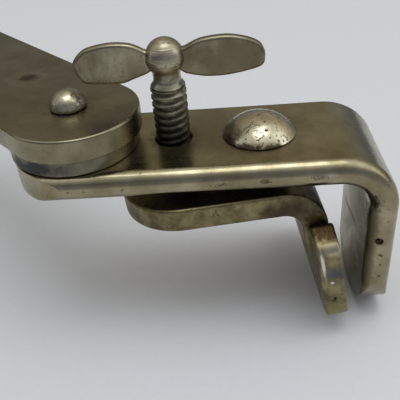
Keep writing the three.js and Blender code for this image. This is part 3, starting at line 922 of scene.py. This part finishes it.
@dataclass
class LeverJaw:
    """The rocking lever with its bent neck and eared pad, and the rivet and washer it rocks on."""

    width: float = 16.9
    thick: float = 3.55
    ease: float = 0.45
    top: float = 11.76
    tilt: float = 3.3
    swivel: float = 4.0
    tail: float = 19.9
    tail_steps: int = 56
    flat: float = 1.7  # where the neck's bend starts
    bend_outer: float = 6.2
    bend_steps: int = 22
    lean: float = 6.0
    hole: float = 3.0
    edge_ease: float = 0.16  # on what the hole and the pad's join leave sharp
    pad_half: float = 12.75
    pad_rise: float = 0.8
    pad_notch: float = 2.6
    pad_overlap: float = 2.0  # how far the neck runs into the pad
    pad_step: float = 0.42
    pad_height: float = 15.2
    pad_ease: float = 0.44
    pad_thick: float = 3.2
    pad_shoulder: float = 2.0
    pad_lap: float = 1.4  # how far its notches run in behind the neck
    pad_jut: float = 0.6  # where its ears start beside the neck
    pad_curves: tuple[float, ...] = (0.9, 0.8, 1.3, 2.4)  # reach of its corners, from the notch
    rocker_top: float = 7.5955
    rocker_thick: float = 1.3
    rocker_radius: float = 3.45
    rocker_cone: float = 0.7  # width of its sloping top
    rocker_slope: float = 34.0
    pin: Rivet = Rivet(shank=2.38, foot=3.6, foot_drop=1.3, under=((4.75, 0.0), (4.98, 0.07)),
                       head=5.05, head_lift=0.18, head_rise=2.62, flats=112, dome_steps=22)

    def lever(self) -> Piece:
        """Plate lever, rounded at the tail, bent down into the pad.

        Returns:
            The lever in the frame.
        """
        half, turn, spare = self.width / 2, 90 - self.lean, self.flat + 4  # trimmed off again
        outline = [(spare, -half), (spare, half)]
        for i in range(self.tail_steps + 1):
            angle = math.pi * (0.5 + i / self.tail_steps)
            outline.append((half - self.tail + half * math.cos(angle), half * math.sin(angle)))
        bm = slab(outline, self.thick, -self.thick, self.ease, 6)
        trim(bm, (self.flat, 0, 0), (1, 0, 0))
        loop = [edge for edge in bm.edges if edge.is_boundary]
        loop = bend(bm, loop, (self.flat, 0, -self.bend_outer), turn, self.bend_steps)
        push(bm, loop, spun(turn, "Y") @ Vector((self.pad_notch + self.pad_overlap, 0, 0)))
        close_ends(bm)
        piece = solid("lever_jaw_plate", bm)
        carve(piece, self.pad(turn), Cut.JOIN)
        drill(piece, straight(self.hole, -self.thick - 2 * PAST, 2 * PAST), Matrix())
        settle(piece, at(FULCRUM_X, self.top) @ spun(self.swivel, "Z") @ spun(-self.tilt, "Y"),
               corner=30, ease=self.edge_ease)
        return piece

    def pad(self, turn: float) -> Piece:
        """Wide jaw pad with two rounded ears beside the neck.

        Args:
            turn: angle of the neck's bend, in degrees.

        Returns:
            The pad in the lever's own axes.
        """
        high, low, neck = -self.pad_rise, self.pad_height - self.pad_rise, self.width / 2
        spots = [(self.pad_notch, -neck + self.pad_lap), (high, -neck - self.pad_jut),
                 (high + self.pad_shoulder, -self.pad_half), (low, -self.pad_half)]
        side = [(x, y, reach) for (x, y), reach in zip(spots, self.pad_curves)]
        corners = [*side, *[(x, -y, reach) for x, y, reach in reversed(side)]]
        piece = solid("pad", slab(rounded(corners), self.pad_thick,
                                  self.pad_step - self.pad_thick, self.pad_ease))
        piece.data.transform(at(self.flat, -self.bend_outer) @ spun(turn, "Y")
                             @ at(0, self.bend_outer))
        return piece

    def rivet(self) -> Piece:
        """The fulcrum's rivet, from under the rocker washer to the strap's top."""
        foot = self.rocker_top - self.rocker_thick - PLAY
        return self.pin.build("fulcrum_rivet_dome", STRAP_TOP - foot, at(FULCRUM_X, foot))

    def rocker(self) -> Piece:
        """Cone-topped washer under the lever.

        Returns:
            The washer in the frame.
        """
        hole, r, t = FULCRUM_HOLE, self.rocker_radius, self.rocker_thick
        rim = t - self.rocker_cone * math.tan(math.radians(self.rocker_slope))
        line = [(hole, 0), (r - 0.15, 0), (r - 0.04, 0.04), (r, 0.15), (r, rim - 0.1),
                (r - 0.07, rim), (hole + 0.12, t - 0.05), (hole + 0.05, t), (hole, t), (hole, 0)]
        piece = solid("fulcrum_washer_ring", lathe(line, 72))
        settle(piece, at(FULCRUM_X, self.rocker_top - t), corner=30)
        return piece


@dataclass
class WingScrew:
    """Turned screw with a helical thread and a ball, its two wings, and the foot button."""

    radius: float = 2.38
    depth: float = 0.45
    pitch: float = 25.4 / 24
    rib: tuple[float, ...] = (0.08, 0.14, 0.34, 0.42, 0.7, 0.78, 0.97, 1.03)  # corner heights
    rib_fill: float = 0.06  # radii at its root and its crest
    rib_ease: float = 0.07
    turns: int = 17
    turns_below: int = 8
    turn_steps: int = 44
    thread_top: float = 7.95
    thread_foot: float = -4.75
    neck: float = 1.8
    neck_z: float = 8.75
    ball: float = 2.54
    ball_z: float = 11.62
    ball_steps: int = 28
    wing_thick: float = 1.3
    wing_ease: float = 0.46
    web: Point3 = (1.2, 10.3, 12.7)  # half width, low and high of the strip inside the ball
    left_wing: tuple[Point, ...] = (
        (-2.4, 12.68), (-4.15, 13.59), (-6.6, 13.89), (-9.2, 13.56), (-10.6, 13.0),
        (-11.75, 11.76), (-11.6, 10.39), (-11.3, 9.54), (-10.4, 8.78), (-6.2, 8.48),
        (-4.15, 9.04), (-2.5, 9.61))
    right_wing: tuple[Point, ...] = (
        (2.5, 9.36), (4.9, 8.81), (7.5, 8.77), (10.1, 9.13), (12.3, 9.79), (12.7, 10.96),
        (12.55, 11.89), (11.9, 12.83), (10.2, 13.59), (7.76, 14.02), (4.64, 13.74),
        (2.57, 12.85))
    button_radius: float = 1.75
    button_round: float = 0.3  # rise of its domed foot
    button_gap: float = 0.15  # over the lever, at rest

    def thread(self) -> Mesh:
        """Right-hand helical rib, one turn for each pitch, cut flat at both ends.

        Returns:
            The threaded rod.
        """
        root = self.radius - self.depth
        radii = [root, root + self.rib_fill, self.radius - self.rib_ease, self.radius]
        start = -self.turns_below * self.pitch
        line = [(radius, start + height)
                for radius, height in zip([root, *radii, *reversed(radii), root],
                                          [0.0, *self.rib, self.pitch])]
        bm = helix(line, self.turn_steps, self.turns, self.pitch)
        for height, up in ((self.thread_foot, -1), (self.thread_top - 0.2, 1)):
            trim(bm, (0, 0, height), (0, 0, up))
        close_ends(bm)
        return bm

    def spindle(self) -> Piece:
        """Threaded rod joined to its neck and ball.

        Returns:
            The spindle in the frame.
        """
        drop = math.sqrt(self.ball ** 2 - (self.neck + 0.05) ** 2)
        first = -math.asin(drop / self.ball)
        r, top, neck, rise = self.radius, self.thread_top, self.neck, self.neck_z
        # starts inside the thread, closes over its top and necks in under the ball
        line = [(0, top - 1.2), (r - 0.75, top - 1.2), (r - 0.34, top - 0.6), (r - 0.1, top),
                (r - 0.25, top + 0.22), (neck + 0.12, rise - 0.3), (neck, rise - 0.1),
                (neck, rise + 0.3)]
        for i in range(self.ball_steps):
            angle = first + (math.pi / 2 - first) * i / self.ball_steps
            line.append((self.ball * math.cos(angle), self.ball_z + self.ball * math.sin(angle)))
        line.append((0.0, self.ball_z + self.ball))
        piece = solid("screw_spindle_turned", self.thread())
        carve(piece, solid("neck", lathe(line, 72)), Cut.JOIN)
        drop_slivers(piece)
        settle(piece, at(SCREW_X, STRAP_TOP), corner=42)
        return piece

    def wings(self) -> Piece:
        """Both leaves and the strip between them inside the ball, from one plate.

        Returns:
            The wings in the frame.
        """
        half, low, high = self.web
        outline = [*flowing(self.left_wing), (-half, low), (half, low),
                   *flowing(self.right_wing), (half, high), (-half, high)]
        piece = solid("thumb_wings_leaf", slab(outline, self.wing_thick, -self.wing_thick / 2,
                                               self.wing_ease))
        piece.data.transform(spun(90, "X"))
        settle(piece, at(SCREW_X, STRAP_TOP), corner=50)
        return piece

    def button(self, lever: LeverJaw) -> Piece:
        """Round-footed thrust button that bears on the lever's tail.

        Args:
            lever: the lever that it stands over.

        Returns:
            The button in the frame.
        """
        fall = (FULCRUM_X - SCREW_X) * math.tan(math.radians(lever.tilt))
        foot = lever.top - fall + self.button_gap
        r, top = self.button_radius, STRAP_TOP + self.thread_foot - PLAY - foot
        line = [*reversed(cap_line(r, -self.button_round, self.button_round, 8)),
                (r, top - 0.15), (r - 0.04, top - 0.05), (r - 0.15, top), (0, top)]
        piece = solid("screw_tip_button_turned", lathe(line, 64))
        settle(piece, at(SCREW_X, foot), corner=50)
        return piece


# ---- studio ----
@dataclass
class Studio:
    """Pale table, soft overhead light and the camera of the picture."""

    table_z: float = -11.2
    table_radius: float = 260.0
    table_middle: Point = (-20.0, 30.0)
    table_tints: tuple[str, str] = ("#d7d7d9", "#dddddf")
    eye: Point3 = (-18.62, -70.29, 56.06)
    yaw: float = 3.51
    pitch: float = 35.35
    roll: float = 5.20
    lens: float = 52.2
    lamp_spot: Point3 = (20, -60, 600)
    lamp_aim: Point3 = (-20, 0, 10)
    lamp_size: Point = (360, 240)
    lamp_watts: float = 0.75
    lamp_tint: str = "#fbfdff"
    strength: float = 1.5
    sides: Point = (0.62, 1.32)  # share of the strength on the left and on the right
    side_span: Point = (-0.9, 0.7)
    backdrop: str = "#d6d6d7"  # what the camera itself sees
    # degrees from the horizon on the camera's side, over the top, to the far horizon
    walls: tuple[tuple[float, str], ...] = (
        (0, "#86898f"), (11, "#6f7480"), (36, "#73767f"), (50, "#929496"), (62, "#cfd1d2"),
        (76, "#e3e9ee"), (96, "#e3e9ef"), (108, "#cfcfcd"), (122, "#a09b90"), (144, "#88816f"),
        (165, "#6f6f6e"), (180, "#4a5058"))

    def camera(self) -> None:
        """Looks down on the clamp from the front, turned and rolled as in the picture."""
        data = bpy.data.cameras.new("camera")
        data.lens, data.sensor_width, data.clip_start = self.lens, 36.0, 0.005
        seat = bpy.data.objects.new("camera", data)
        seat.matrix_world = (Matrix.Translation(Vector(self.eye) * MM) @ spun(self.yaw, "Z")
                             @ spun(90 - self.pitch, "X") @ spun(-self.roll, "Z"))
        bpy.context.scene.collection.objects.link(seat)
        bpy.context.scene.camera = seat

    def table(self) -> None:
        """Round matt laminate top."""
        bm = bmesh.new()
        bmesh.ops.create_circle(bm, cap_ends=True, segments=96, radius=self.table_radius)
        piece = solid("table", bm)
        piece.data.transform(Matrix.Scale(MM, 4)
                             @ Matrix.Translation((*self.table_middle, self.table_z)))
        material = bpy.data.materials.new("matt_laminate")
        graph = Graph(material)
        grain = graph.noise(graph.add("TexCoord").outputs["Object"], 900.0, 3.0)
        tint = graph.mix(grain, *(colour(code) for code in self.table_tints))
        graph.dress({"Base Color": tint, "Roughness": 0.6, "Specular IOR Level": 0.25})
        piece.data.materials.append(material)

    def lamp(self) -> None:
        """Soft rectangular light over the table."""
        data = bpy.data.lights.new("overhead", "AREA")
        data.shape = "RECTANGLE"
        data.size, data.size_y = (side * MM for side in self.lamp_size)
        data.energy, data.color = self.lamp_watts, colour(self.lamp_tint)[:3]
        holder = bpy.data.objects.new("overhead", data)
        spot = Vector(self.lamp_spot)
        way = (Vector(self.lamp_aim) - spot).normalized()
        turn = way.to_track_quat("-Z", "Y").to_matrix().to_4x4()
        holder.matrix_world = Matrix.Translation(spot * MM) @ turn
        bpy.context.scene.collection.objects.link(holder)

    def room(self) -> None:
        """Soft room, the same below the horizon: pale overhead, dim walls, a cool far side."""
        world = bpy.data.worlds.new("room")
        bpy.context.scene.world = world
        graph = Graph(world)
        way = graph.add("SeparateXYZ", {0: graph.add("TexCoord").outputs["Generated"]})
        front = graph.reckon("MULTIPLY", way.outputs["Y"], -1.0)
        angle = graph.reckon("ABSOLUTE", graph.reckon("ARCTAN2", way.outputs["Z"], front))
        ramp = graph.add("ValToRGB", {"Fac": graph.remap(angle, (0.0, math.pi))})
        marks = ramp.color_ramp.elements
        marks[0].position, marks[0].color = 0.0, colour(self.walls[0][1])
        marks[1].position, marks[1].color = 1.0, colour(self.walls[-1][1])
        for degrees, code in self.walls[1:-1]:
            marks.new(degrees / 180).color = colour(code)
        seen = graph.add("LightPath").outputs["Is Camera Ray"]
        lit = graph.remap(way.outputs["X"], self.side_span,
                          tuple(self.strength * share for share in self.sides))
        sky = graph.add("Background", {
            "Color": graph.mix(seen, ramp.outputs["Color"], colour(self.backdrop)),
            "Strength": graph.blend(seen, lit, 1.0)})
        graph.add("OutputWorld", {"Surface": sky.outputs["Background"]})

    def set_up(self) -> None:
        """Camera, table, light and room."""
        bpy.context.scene.view_settings.view_transform = "Standard"
        self.camera()
        self.table()
        self.lamp()
        self.room()


def main() -> None:
    """Builds every piece in order, dresses it and sets up the picture."""
    Studio().set_up()
    aged, jaw, dull, leaf, dome, knob, screw, steel = [
        plate.make() for plate in (AGED_AND_PAINTED_LIGHT, JAW, DULL, LEAF, DOME, KNOB, SCREW, STEEL)]

    shop = Workshop()
    strap, arm, jaw_set, wing_screw = Strap(), SwingArm(), LeverJaw(), WingScrew()
    shop.deliver(strap.build(), "hook_strap", "strap", aged)
    shop.deliver(arm.arm(), "swing_arm", "arm", dull)
    shop.deliver(arm.washer(), "arm_washer", "strap", steel)
    shop.deliver(arm.rivet(), "pivot_rivet", "strap", knob)
    shop.deliver(jaw_set.rivet(), "fulcrum_rivet", "strap", dome)
    shop.deliver(jaw_set.rocker(), "fulcrum_washer", "swivel", steel)
    shop.deliver(jaw_set.lever(), "lever_jaw", "lever", jaw)
    shop.deliver(wing_screw.spindle(), "screw_spindle", "screw", screw)
    shop.deliver(wing_screw.wings(), "thumb_wings", "screw", leaf)
    shop.deliver(wing_screw.button(jaw_set), "screw_tip_button", "feed", steel)
    LOG.info("%d pieces made", shop.made)


if __name__ == "__main__":
    main()
